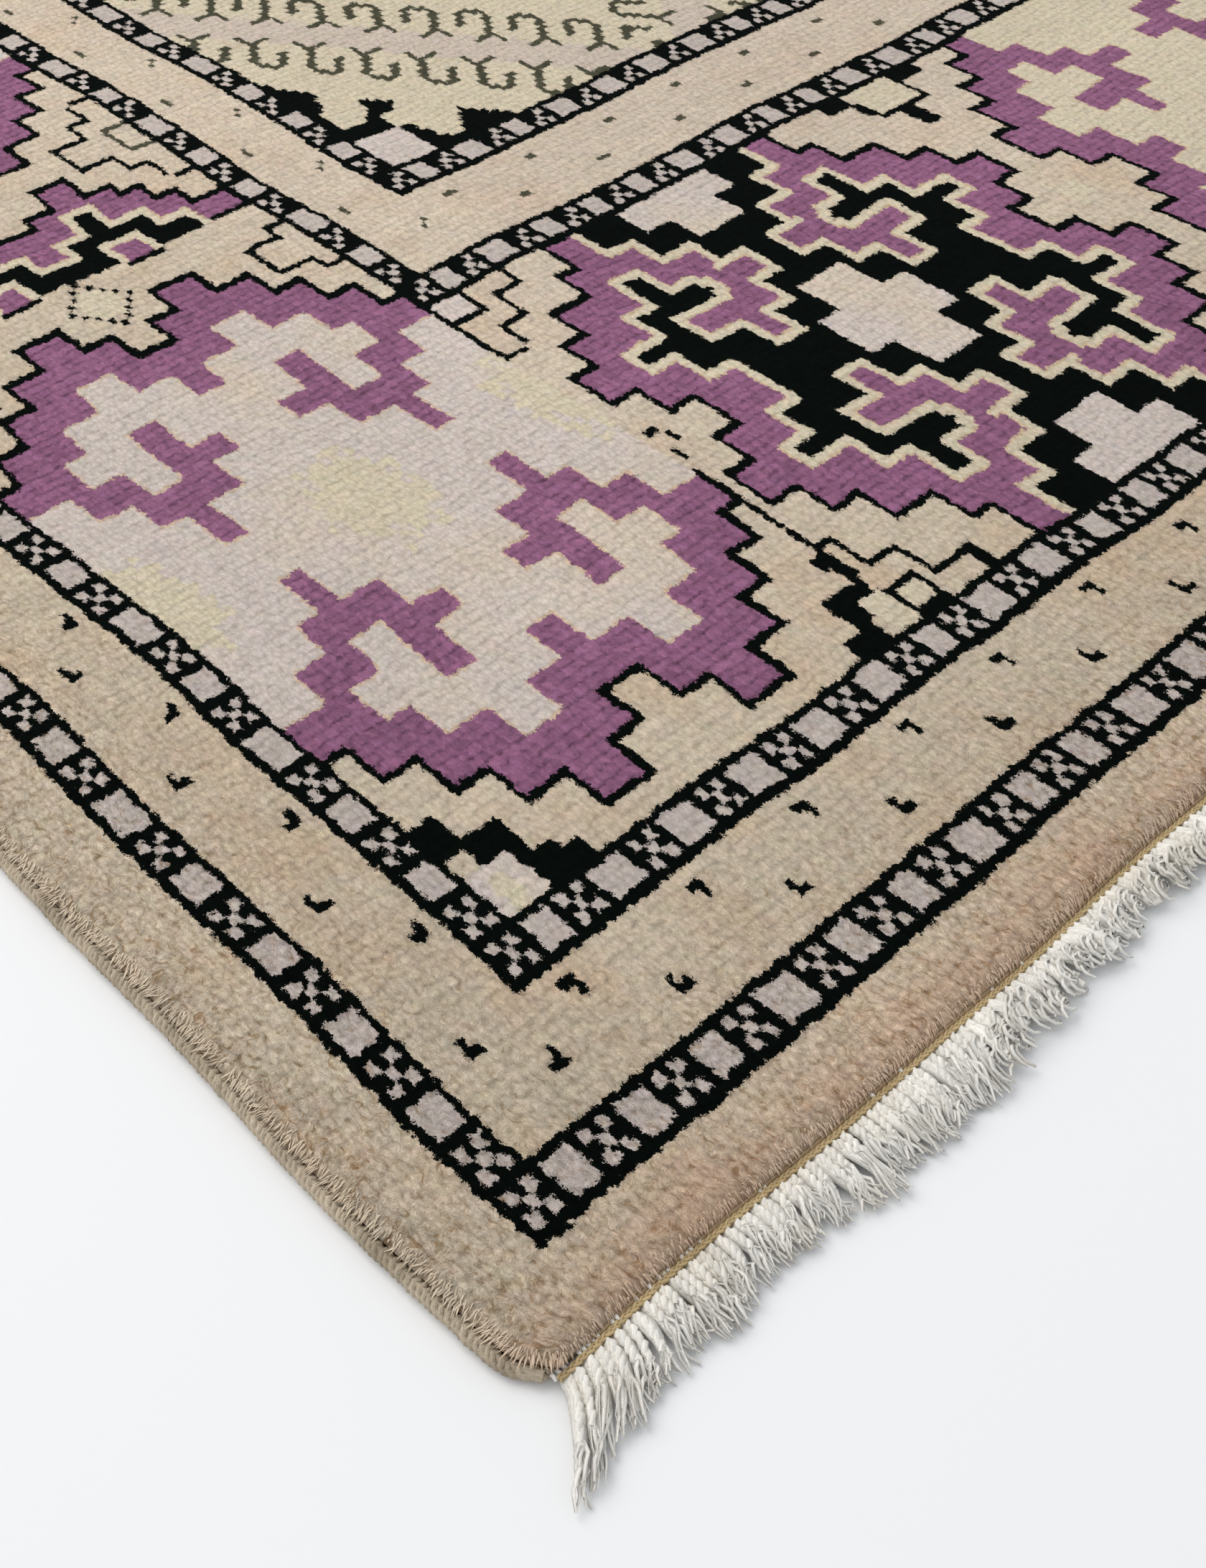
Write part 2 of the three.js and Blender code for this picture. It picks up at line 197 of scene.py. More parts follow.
FIELD_CORNER = (
    (103, 110, 107, 110), (110, 114, 101, 103), (110, 113, 103, 105), (110, 112, 105, 107), (108, 113, 110, 111),
    (109, 114, 111, 112), (110, 113, 112, 113), (110, 112, 113, 114), (114, 124, 101, 102), (116, 123, 102, 103),
    (117, 122, 103, 104), (118, 121, 104, 105), (119, 120, 105, 106), (103, 104, 110, 123), (104, 105, 114, 121),
    (105, 106, 115, 120), (106, 107, 117, 119),
)
tie([(IVORY, 103, 110, 101, 107), *dyed_bars(BLACK, *FIELD_CORNER)], quarter)
quarter = quarter[:HALF_ALONG, :HALF_ACROSS]
chart = np.block([[quarter, quarter[:, ::-1]], [quarter[::-1], quarter[::-1, ::-1]]])


def guard(length, squares, dots):
    """The inside of a guard stripe: light squares, and between them single knots, set as on a die or in a
    slanting stroke."""
    cells = np.full((3, length + 12), BLACK)
    at = 0
    while at < length:
        for row, knot in dots:
            cells[row, at + knot] = LILAC
        square = rng.choice(squares)
        cells[:, at + 4:at + 4 + square] = LILAC
        at += square + 5
    return cells[:, :length]


DIE, STROKE = ((0, 0), (0, 2), (1, 1), (2, 0), (2, 2)), ((0, 0), (1, 1), (2, 2), (0, 2))
SIDE_SQUARES, END_SQUARES = (3, 3, 3, 4), (3, 4, 4)  # how long the squares are, in rows and in knots
for n, (side, end, wool) in enumerate(BANDS):
    if wool == BLACK:
        dots = DIE if n < 4 else STROKE
        for left in (side + 1, ACROSS - side - 4):
            chart[end + 5:ALONG - end - 5, left:left + 3] = guard(ALONG - 2 * end - 10, SIDE_SQUARES, dots).T
        for low in (end + 1, ALONG - end - 4):
            chart[low:low + 3, side + 1:ACROSS - side - 1] = guard(ACROSS - 2 * side - 2, END_SQUARES, dots)

# little figures of the plain bands: along the side or not, distance in, first mark, step, wool, and knots
MARK_LINES = (
    (False, 16, 25, 14.6, BLACK, ((0, 1), (1, 1), (1, 0))),
    (False, 12, 32, 14.6, BLACK, ((0, 1), (0, 0), (1, 0))),
    (False, 93, 102, 14.3, MOSS, ((0, 0), (1, 0))),
    (False, 88, 109, 14.3, MOSS, ((0, 0), (1, 0))),
    (True, 15, 17, 14.8, BLACK, ((0, 1), (0, 0), (1, 0))),
    (True, 19, 13, 13.2, BLACK, ((0, 0), (1, 0), (1, 1))),
    (True, 90, 97, 14.6, MOSS, ((0, 0), (0, 1))),
    (True, 95, 90, 14.6, MOSS, ((0, 0), (1, 1))),
)
for along_side, line, first, step, wool, shape in MARK_LINES:
    for n in range(int(((HALF_ALONG if along_side else HALF_ACROSS) - first) / step) + 1):
        at = round(first + n * step)
        u, v = (line, at) if along_side else (at, line)
        for knot in (u, ACROSS - 2 - u):
            for row in (v, ALONG - 2 - v):
                for du, dv in shape:
                    chart[row + dv, knot + du] = wool


def waves(table, at):
    return sum(height * np.sin(2 * math.pi * at / length + phase) for length, height, phase in table)


def corner_draw(along):
    """How far the sides are drawn in at this place along the rug, near its corners."""
    return CORNER_DRAW * np.maximum(0, 1 - (HALF_LENGTH - np.abs(along)) / CORNER_REACH) ** 2


def left_edge(along):
    return -(HALF_WIDTH + waves(SIDE_WAVES, along + HALF_LENGTH) - corner_draw(along))


def near_edge(across):
    return -(HALF_LENGTH + waves(END_WAVES, across + HALF_WIDTH))


WANDER = ((210, 0.9, 0.4), (93, 0.6, 2.0))  # how far the rows and knots stray inside the rug, mm
CORNER_PULL = 30  # mm over which the knots follow the drawn-in corner


def lay(u, v):
    """Where a point of the chart lies on the floor, in mm. The knots follow the uneven edges."""
    x, y = u * KNOT - HALF_WIDTH, v * ROW - HALF_LENGTH
    left, right = np.maximum(0, 1 - u / HALF_ACROSS), np.maximum(0, u / HALF_ACROSS - 1)
    near, far = np.maximum(0, 1 - v / HALF_ALONG), np.maximum(0, v / HALF_ALONG - 1)
    pull = [np.maximum(0, 1 - away * KNOT / CORNER_PULL) ** 2 for away in (u, ACROSS - u)]
    inside = (1 - left ** 12 - right ** 12) * (1 - near ** 12 - far ** 12)
    return (
        x - waves(SIDE_WAVES, y + HALF_LENGTH) * left + waves(SIDE_WAVES, HALF_LENGTH - y) * right
        + corner_draw(y) * (pull[0] - pull[1]) + inside * waves(WANDER, y + 0.3 * x),
        y - waves(END_WAVES, x + HALF_WIDTH) * near + waves(END_WAVES, HALF_WIDTH - x) * far
        + inside * waves(WANDER, x * 1.1 + 40),
    )


CELL = 4  # knots and rows to a face
# how far in from the edge, and the pile's height there, mm
RIM = ((0.0, 5.6), (0.9, 7.56), (2.8, 9.0), (6.0, 9.0), (10.0, 9.0), (14.0, 9.0))
SOLE = (0.8, 1.3, 2.8, 6.0, 10.0, 14.0)  # the same mesh lines on the underside
SIDE_LIP, END_LIP = 1.5, 0.7  # the outermost tufts lean out over the edge by this much
SWELL = 0.25  # mm of unevenness in the clipped pile


def mesh_lines(count, pitch, insets):
    rim = np.array(insets) / pitch
    return np.concatenate((rim, np.arange(CELL, count - rim[-1], CELL), count - rim[::-1]))


def chart_grid(insets):
    return np.meshgrid(mesh_lines(ACROSS, KNOT, insets), mesh_lines(ALONG, ROW, insets))


def plain_mesh(name, points, faces):
    mesh = bpy.data.meshes.new(name)
    mesh.from_pydata(np.asarray(points) * MM, [], faces)
    piece = bpy.data.objects.new(name, mesh)
    bpy.context.scene.collection.objects.link(piece)
    return piece


def grid_faces(first, shape, flip=False):
    at = first + np.arange(shape[0] * shape[1]).reshape(shape)
    faces = np.stack((at[:-1, :-1], at[:-1, 1:], at[1:, 1:], at[1:, :-1]), -1).reshape(-1, 4)
    return faces[:, ::-1] if flip else faces


def ring(first, shape):
    at = first + np.arange(shape[0] * shape[1]).reshape(shape)
    return np.concatenate((at[0, :-1], at[:-1, -1], at[-1, :0:-1], at[:0:-1, 0]))


top_u, top_v = chart_grid([inset for inset, _ in RIM])
x, y = lay(top_u, top_v)
inset = np.minimum(np.minimum(top_u, ACROSS - top_u) * KNOT, np.minimum(top_v, ALONG - top_v) * ROW)
swell = SWELL * (np.sin(x / 41 + y / 67) + np.sin(x / 23 - y / 31 + 1))
z = np.interp(inset, *zip(*RIM)) + np.minimum(1, inset / 40) * swell
top = np.stack((x, y, z), -1).reshape(-1, 3)
edge = ring(0, top_u.shape)
skirt = top[edge] * (1, 1, 0) + (0, 0, 0.8)
for axis, line, count, lip in ((0, top_u.ravel(), ACROSS, SIDE_LIP), (1, top_v.ravel(), ALONG, END_LIP)):
    top[:, axis] += lip * (line == count) - lip * (line == 0)
sole_u, sole_v = chart_grid(SOLE)
sole = np.stack((*lay(sole_u, sole_v), 0 * sole_u), -1).reshape(-1, 3)
faces = [grid_faces(0, top_u.shape), grid_faces(len(top), sole_u.shape, flip=True)]
rings = [ring(len(top), sole_u.shape), len(top) + len(sole) + np.arange(len(skirt)), edge]
for low, high in zip(rings, rings[1:]):
    faces.append(np.stack((low, np.roll(low, -1), np.roll(high, -1), high), -1))
faces = np.concatenate(faces)
knots = np.stack([
    np.concatenate((over.ravel(), under.ravel(), over.ravel()[edge])) for over, under in ((top_u, sole_u), (top_v, sole_v))
], -1)
pile = plain_mesh("pile", np.concatenate((top, sole, skirt)), faces)

# each face's knots: a window of six by six, every row of it packed into one number, three bits to a knot
WINDOW = CELL + 2
padded = np.pad(chart, ((1, WINDOW), (1, WINDOW)), mode="edge")
packed = sum(padded[:, k:k + ACROSS:CELL] * 8 ** k for k in range(WINDOW))
cell = np.minimum(knots[faces].mean(axis=1) // CELL, ((ACROSS - 1) // CELL, (ALONG - 1) // CELL)).astype(int)
windows = np.stack([packed[cell[:, 1] * CELL + row, cell[:, 0]] for row in range(WINDOW)], -1)


def write(mesh, name, domain, values):
    values = np.asarray(values, dtype=np.float32)
    kind, key = ("FLOAT_VECTOR", "vector") if values.ndim == 2 else ("FLOAT", "value")
    mesh.attributes.new(name, kind, domain).data.foreach_set(key, values.ravel())


write(pile.data, "knot", "POINT", np.column_stack((knots, 0 * knots[:, 0])))
write(pile.data, "cell", "FACE", np.column_stack((cell * CELL, faces[:, 0] >= len(top))))
write(pile.data, "low_rows", "FACE", windows[:, :3])
write(pile.data, "high_rows", "FACE", windows[:, 3:])
pile.data.shade_smooth()


def node(tree, kind, links=(), **settings):
    """Adds a node, sets it, and links or fills its inputs, given by name or number."""
    made = tree.nodes.new(kind)
    for key, value in settings.items():
        setattr(made, key, value)
    for key, value in dict(links).items():
        if isinstance(value, bpy.types.NodeSocket):
            tree.links.new(value, made.inputs[key])
        else:
            made.inputs[key].default_value = value
    return made


def maths(tree, operation, *values):
    return node(tree, "ShaderNodeMath", enumerate(values), operation=operation).outputs[0]


def times(tree, first, *others):
    for other in others:
        first = maths(tree, "MULTIPLY", first, other)
    return first


def plus(tree, first, *others):
    for other in others:
        first = maths(tree, "ADD", first, other)
    return first


def minus(tree, value, other):
    return maths(tree, "SUBTRACT", value, other)


def vectors(tree, operation, *values):
    return node(tree, "ShaderNodeVectorMath", enumerate(values), operation=operation).outputs["Vector"]


def axes(tree, vector):
    return node(tree, "ShaderNodeSeparateXYZ", {0: vector}).outputs


def combined(tree, x=0.0, y=0.0, z=0.0):
    return node(tree, "ShaderNodeCombineXYZ", {0: x, 1: y, 2: z}).outputs[0]


def scaled(tree, colour, amount):
    return vectors(tree, "MULTIPLY", colour, combined(tree, amount, amount, amount))


def blend(tree, share, colour, other):
    return node(tree, "ShaderNodeMix", {0: share, 6: colour, 7: other}, data_type="RGBA").outputs[2]


def attribute(tree, name, output="Vector"):
    return node(tree, "ShaderNodeAttribute", attribute_name=name).outputs[output]


def noise(tree, place, scale, detail=2.0, roughness=0.5):
    made = node(tree, "ShaderNodeTexNoise", {
        "Vector": place, "Scale": scale, "Detail": detail, "Roughness": roughness,
    })
    return made.outputs["Fac"], made.outputs["Color"]


def spread(tree, value, low, high, to_low=0.0, to_high=1.0):
    links = {"Value": value, "From Min": low, "From Max": high, "To Min": to_low, "To Max": to_high}
    return node(tree, "ShaderNodeMapRange", links).outputs["Result"]


def group(name, inputs, outputs):
    """An empty shader group with named sockets."""
    tree = bpy.data.node_groups.new(name, "ShaderNodeTree")
    for direction, sockets in (("INPUT", inputs), ("OUTPUT", outputs)):
        for label, kind in sockets:
            tree.interface.new_socket(label, in_out=direction, socket_type="NodeSocket" + kind)
    return tree, tree.nodes.new("NodeGroupInput"), tree.nodes.new("NodeGroupOutput")


def shared(tree, effect, links):
    """Places a shader group in a tree, and gives its outputs."""
    return node(tree, "ShaderNodeGroup", links, node_tree=effect).outputs


def inwards(tree, place):
    """How far in a place is: knots from the nearer side, rows from the nearer end, and rows from the edge."""
    u, v = axes(tree, place)[:2]
    in_side = maths(tree, "MINIMUM", u, minus(tree, ACROSS, u))
    in_end = maths(tree, "MINIMUM", v, minus(tree, ALONG, v))
    return in_side, in_end, maths(tree, "MINIMUM", times(tree, in_side, KNOT / ROW), in_end)


def linear(*rgb):
    """A colour as seen, 0 to 255, made linear."""
    return [((c / 255 + 0.055) / 1.055) ** 2.4 if c > 10 else c / 255 / 12.92 for c in rgb] + [1.0]


# which wool a place is: reads the face's window at the chart place it is given
wool_group, given, result = group("wool of the knot", [("Place", "Vector")], [("Wool", "Float")])
tree = wool_group
in_cell = vectors(tree, "SUBTRACT", given.outputs[0], attribute(tree, "cell"))
knot_in, row_in = (
    maths(tree, "FLOOR", maths(tree, "MINIMUM", maths(tree, "MAXIMUM", steps, 0), WINDOW - 0.01))
    for steps in axes(tree, vectors(tree, "ADD", in_cell, (1, 1, 0)))[:2]
)
rows = [row for name in ("low_rows", "high_rows") for row in axes(tree, attribute(tree, name))]
row_code = plus(tree, *(times(tree, row, maths(tree, "COMPARE", row_in, n, 0.1)) for n, row in enumerate(rows)))
digit = maths(tree, "DIVIDE", plus(tree, row_code, 0.5), maths(tree, "POWER", 8, knot_in))
tree.links.new(maths(tree, "MODULO", maths(tree, "FLOOR", digit), 8), result.inputs[0])

# the dyed wools' colours, with the streaks along the rows that hand-dyed wool shows
DYES = (  # in the order of the wools: the colour, and how far it streaks
    ((206, 192, 170), 0.13), ((5, 10, 7), 0.25), ((208, 195, 186), 0.10), ((146, 98, 128), 0.26),
    ((212, 199, 174), 0.08), ((194, 182, 174), 0.10), ((76, 75, 60), 0.2), ((205, 190, 175), 0.08),
)
dye_group, given, result = group("dyed wool", [("Wool", "Float"), ("Place", "Vector")], [("Color", "Color")])
tree, place = dye_group, given.outputs["Place"]
dye_at = maths(tree, "DIVIDE", plus(tree, given.outputs["Wool"], 0.5), len(DYES))
ramps = []
for stops in ([linear(*rgb) for rgb, _ in DYES], [(depth, depth, depth, 1) for _, depth in DYES]):
    ramp = node(tree, "ShaderNodeValToRGB", {0: dye_at})
    ramp.color_ramp.interpolation = "CONSTANT"
    for n, colour in enumerate(stops):
        stop = ramp.color_ramp.elements[n] if n < 2 else ramp.color_ramp.elements.new(n / len(DYES))
        stop.position, stop.color = n / len(DYES), colour
    ramps.append(ramp.outputs[0])
colour, depths = ramps
u, v = axes(tree, place)[:2]
streak_at = combined(tree, times(tree, u, 0.08), times(tree, maths(tree, "FLOOR", v), 0.61))
streak = minus(tree, noise(tree, streak_at, 1.0, 3.0, 0.6)[0], 0.5)
cloud = minus(tree, noise(tree, place, 0.035, 2.0, 0.5)[0], 0.5)
grain = node(tree, "ShaderNodeTexWhiteNoise", {"Vector": place}, noise_dimensions="3D").outputs["Value"]
change = plus(tree, times(tree, streak, 2.2), cloud, times(tree, minus(tree, grain, 0.5), 1.3))
depth = node(tree, "ShaderNodeSeparateColor", {0: depths}).outputs[0]
# beige wool shades towards tan in clouds, paler towards the middle, browner still in the end bands, greyer with
# wear along the sides
in_side, in_end, inner = inwards(tree, place)
clouds = noise(tree, place, 0.085, 3.0, 0.6)[0]
worn = noise(tree, place, 0.14, 3.0, 0.6)[0]
old = noise(tree, vectors(tree, "ADD", place, (0, 57, 0)), 0.045, 2.0, 0.5)[0]
tan = times(tree, spread(tree, clouds, 0.48, 0.70), 0.55)
paler_inwards = spread(tree, inner, 25.0, 110.0, 0.0, 0.7)
brown = times(
    tree, spread(tree, in_end, 1.0, 5.0, 1.0, 0.15), spread(tree, clouds, 0.3, 0.6, 0.5, 1.0),
    spread(tree, u, 120.0, 300.0, 1.0, 0.5),
)
grey = times(tree, spread(tree, in_side, 2.5, 7.5, 1.0, 0.0), spread(tree, worn, 0.45, 0.65, 0.15, 0.9))
yellowed = spread(tree, old, 0.50, 0.66, 0.0, 0.65)
for wool, share, other in (
    (BEIGE, tan, (208, 178, 146)), (BEIGE, paler_inwards, (213, 198, 183)), (BEIGE, brown, (200, 172, 148)),
    (BEIGE, grey, (190, 175, 155)), (IVORY, yellowed, (214, 197, 174)),
):
    share = times(tree, share, maths(tree, "COMPARE", given.outputs["Wool"], wool, 0.1))
    colour = blend(tree, share, colour, linear(*other))
# the outer bands and the field are the darkest, and painted light brightens the sides away from the near corner
painted_light_along_sides = times(tree, spread(tree, v, 15.0, 130.0, 0.0, 0.26), spread(tree, in_side, 22.0, 34.0, 1.0, 0.0))
bright = times(
    tree, plus(tree, times(tree, change, depth), 1.0), plus(tree, painted_light_along_sides, 1.0),
    spread(tree, inner, 5.0, 10.0, 0.95, 0.87), spread(tree, inner, 12.0, 60.0, 1.0, 1.12),
    spread(tree, inner, 68.0, 76.0, 1.0, 0.95), spread(tree, in_side, 18.0, 32.0, 0.95, 1.0),
)
tree.links.new(scaled(tree, colour, bright), result.inputs[0])


def dull(name, specular):
    """A new material that hardly shines, with its tree and its skin."""
    made = bpy.data.materials.new(name)
    made.use_nodes = True
    skin = made.node_tree.nodes["Principled BSDF"]
    skin.inputs["Roughness"].default_value = 1.0
    skin.inputs["Specular IOR Level"].default_value = specular
    return made, made.node_tree, skin


def raised(tree, skin, height, depth):
    """Gives a skin its relief, this many mm deep."""
    bump = node(tree, "ShaderNodeBump", {"Height": height, "Distance": depth * MM, "Strength": 0.7})
    tree.links.new(bump.outputs[0], skin.inputs["Normal"])


# clipped pile: each knot shows two soft tufts, the tops of its two yarn ends, each tied in one wool.
# Towards the rug's edges the wool is brushed outwards, and single fibres show.
clipped, tree, skin = dull("clipped wool pile", 0.03)
here = attribute(tree, "knot")


def stray(place, scale, detail, reach):
    """How far the wool strays at a place: a soft random vector, in knots."""
    aside = vectors(tree, "SUBTRACT", noise(tree, place, scale, detail, 0.7)[1], (0.5, 0.5, 0.5))
    return vectors(tree, "MULTIPLY", aside, (reach, 0.8 * reach, 0))


def is_wool(value, *wools):
    return plus(tree, *(maths(tree, "COMPARE", value, wool, 0.1) for wool in wools))


swayed = vectors(tree, "ADD", here, stray(here, 0.45, 1.0, 0.8))
frizz = stray(here, 8.0, 2.0, 0.95)
softly = vectors(tree, "ADD", swayed, stray(here, 1.7, 1.0, 0.8))
seen_place = vectors(tree, "ADD", softly, frizz)
# dark and purple wool is sunk a little: it shows only where it lies on both sides of a place, and light
# tufts close over it elsewhere, but for lilac, beside which black keeps its width. Beside purple the light
# wool turns peach
lean = vectors(tree, "ADD", stray(vectors(tree, "ADD", here, (31, 17, 0)), 1.2, 1.0, 0.8), (0.13, 0.11, 0))
found = [
    shared(tree, wool_group, {"Place": vectors(tree, way, seen_place, lean)})[0] for way in ("SUBTRACT", "ADD")
]
sunk = maths(tree, "MAXIMUM", 0.0, minus(tree, is_wool(found[0], BLACK, PURPLE, MOSS), is_wool(found[1], LILAC)))
seen_wool = node(tree, "ShaderNodeMix", {0: sunk, 2: found[0], 3: found[1]}).outputs[0]
beside_purple = maths(tree, "MAXIMUM", *(is_wool(wool, PURPLE) for wool in found))
peach_beside_purple = times(tree, beside_purple, minus(tree, 0.6, times(tree, is_wool(seen_wool, BLACK, PURPLE), 0.6)))
# every knot is two soft puffs, with a painted highlight on top and painted shade where they meet
puff_place = vectors(tree, "MULTIPLY", vectors(tree, "ADD", swayed, scaled(tree, frizz, 0.35)), (2.0, 1.6, 0))
puffs = node(
    tree, "ShaderNodeTexVoronoi", {"Vector": puff_place, "Scale": 1.0, "Smoothness": 0.7, "Randomness": 0.8},
    voronoi_dimensions="2D", feature="SMOOTH_F1",
)
puff = spread(tree, puffs.outputs["Distance"], 0.10, 0.62, 1.0, 0.0)
tuft_place = vectors(tree, "FLOOR", vectors(tree, "MULTIPLY", seen_place, (2, 1, 0)))
tuft_place = vectors(tree, "MULTIPLY", tuft_place, (0.5, 1, 0))
dyed = shared(tree, dye_group, {"Wool": seen_wool, "Place": tuft_place})["Color"]
fine = noise(tree, here, 8.0, 3.0, 0.7)[0]
lumps = noise(tree, here, 1.4, 3.0, 0.65)[0]
# towards the rims the wool is brushed outwards: streaks of fibre, and long pits between the licks, darkened with
# painted shade
in_side, in_end, nearest = inwards(tree, here)
bent = vectors(tree, "ADD", here, stray(here, 0.5, 2.0, 3.2))
brushed = [  # at the sides, and at the ends
    spread(tree, in_side, 1.0, 4.0, 1.0, 0.1),
    maths(tree, "MAXIMUM", spread(tree, in_end, 1.2, 7.0, 1.0, 0.15), spread(tree, nearest, 5.0, 26.0, 0.75, 0.12)),
]


def brushing(*stretches):
    """Noise drawn out along the brushed wool, at the sides and at the ends."""
    drawn = [noise(tree, vectors(tree, "MULTIPLY", bent, stretch), 1.0, 3.0, 0.65)[0] for stretch in stretches]
    return plus(tree, *(times(tree, minus(tree, value, 0.5), share) for value, share in zip(drawn, brushed)))


strands = brushing((0.9, 11.0, 0), (8.0, 1.2, 0))
licks = brushing((0.5, 2.6, 0), (1.9, 0.7, 0))
# the rows part in fine grooves, darkened with painted shade, deeper in the purple. Towards the edges the puffs come
# apart over pits filled with painted brown shade
near_edge_share = spread(tree, nearest, 3.0, 22.0, 1.0, 0.12)
groove = maths(tree, "ABSOLUTE", minus(tree, maths(tree, "FRACT", axes(tree, softly)[1]), 0.5))
broken = noise(tree, vectors(tree, "MULTIPLY", here, (0.8, 1.1, 0)), 1.0, 3.0, 0.65)[0]
parted = times(tree, spread(tree, groove, 0.20, 0.48), spread(tree, broken, 0.40, 0.64, 0.08, 1.0))
groove_shade_depth = spread(tree, is_wool(seen_wool, PURPLE), 0.0, 1.0, 0.26, 0.55)
shade = times(
    tree, spread(tree, puff, 0.0, 1.0, 0.86, 1.08), spread(tree, fine, 0.3, 0.7, 0.82, 1.18),
    plus(tree, 1.0, times(tree, strands, 1.5)), minus(tree, 1.04, times(tree, parted, groove_shade_depth)),
)
pits = times(tree, spread(tree, puff, 0.0, 0.45, 1.0, 0.0), spread(tree, lumps, 0.35, 0.62, 0.35, 0.0))
painted_pit_shade = plus(
    tree, times(tree, plus(tree, spread(tree, lumps, 0.30, 0.50, 0.5, 0.0), pits), near_edge_share),
    spread(tree, licks, -0.16, -0.02, 0.9, 0.0),
)
# painted shade: brown darkens the pits between the puffs near the edges and the long pits between the licks
shadow = blend(tree, maths(tree, "MINIMUM", painted_pit_shade, 1.0), (1, 1, 1, 1), (0.60, 0.49, 0.38, 1))
hue = vectors(tree, "SUBTRACT", noise(tree, here, 0.7, 1.0)[1], (0.5, 0.5, 0.5))
hue = vectors(tree, "ADD", vectors(tree, "MULTIPLY", hue, (0.12, 0.08, 0.14)), (1, 1, 1))
coloured = scaled(tree, blend(tree, peach_beside_purple, dyed, linear(206, 172, 138)), shade)
seen = vectors(tree, "MULTIPLY", vectors(tree, "MULTIPLY", coloured, shadow), hue)
tree.links.new(seen, skin.inputs["Base Color"])
raised(tree, skin, plus(
    tree, times(tree, puff, 0.3), times(tree, parted, -0.35), times(tree, fine, 0.45), strands,
    times(tree, lumps, spread(tree, near_edge_share, 0.0, 1.0, 0.35, 1.0)), times(tree, licks, 2.0),
), 1.0)
pile.data.materials.append(clipped)
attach(pile, "root")
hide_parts("pile_body")

# Brushed rims: all round the rug the outermost tufts stand free, lean outwards and hang a little over
# the edge. They are tufts of the same wool, each a flat lick of fibres, set thickest at the very edge.
NAP_DEPTH, NAP_SIDE, NAP_END = 3.4, 18, 12  # mm in from the edge, and tufts to a row and to a knot
NAP_TURN = 14.0  # mm round a corner over which the lean swings from one edge to the other
yarn_tree = bpy.data.node_groups.new("yarn along paths", "GeometryNodeTree")
yarn_inputs = {}
for label, kind in (("Geometry", "Geometry"), ("Sides", "Int"), ("Flatness", "Float"), ("Yarn", "Material")):
    socket = yarn_tree.interface.new_socket(label, in_out="INPUT", socket_type="NodeSocket" + kind)
    yarn_inputs[label] = socket.identifier
yarn_tree.interface.new_socket("Geometry", in_out="OUTPUT", socket_type="NodeSocketGeometry")
given, result = yarn_tree.nodes.new("NodeGroupInput"), yarn_tree.nodes.new("NodeGroupOutput")
thick = node(yarn_tree, "GeometryNodeInputNamedAttribute", {"Name": "thick"}, data_type="FLOAT")
curves = node(yarn_tree, "GeometryNodeMeshToCurve", {"Mesh": given.outputs["Geometry"]})
level = node(yarn_tree, "GeometryNodeSetCurveNormal", {"Curve": curves.outputs[0]}, mode="Z_UP")
profile = node(yarn_tree, "GeometryNodeCurvePrimitiveCircle", {"Resolution": given.outputs["Sides"], "Radius": 1.0})
profile = node(
    yarn_tree, "GeometryNodeStoreNamedAttribute", {"Geometry": profile.outputs[0], "Name": "around"},
    data_type="FLOAT_VECTOR", domain="POINT",
)
round_it = node(yarn_tree, "GeometryNodeInputPosition").outputs[0]
yarn_tree.links.new(round_it, next(i for i in profile.inputs if i.name == "Value" and i.enabled))
flatten = node(yarn_tree, "ShaderNodeCombineXYZ", {0: 1.0, 1: given.outputs["Flatness"], 2: 1.0})
profile = node(yarn_tree, "GeometryNodeTransform", {"Geometry": profile.outputs[0], "Scale": flatten.outputs[0]})
tubes = node(yarn_tree, "GeometryNodeCurveToMesh", {
    "Curve": level.outputs[0], "Profile Curve": profile.outputs[0],
    "Scale": next(o for o in thick.outputs if o.enabled), "Fill Caps": True,
})
real = node(yarn_tree, "GeometryNodeRealizeInstances", {0: tubes.outputs[0]})
clad = node(yarn_tree, "GeometryNodeSetMaterial", {"Geometry": real.outputs[0], "Material": given.outputs["Yarn"]})
yarn_tree.links.new(clad.outputs[0], result.inputs[0])


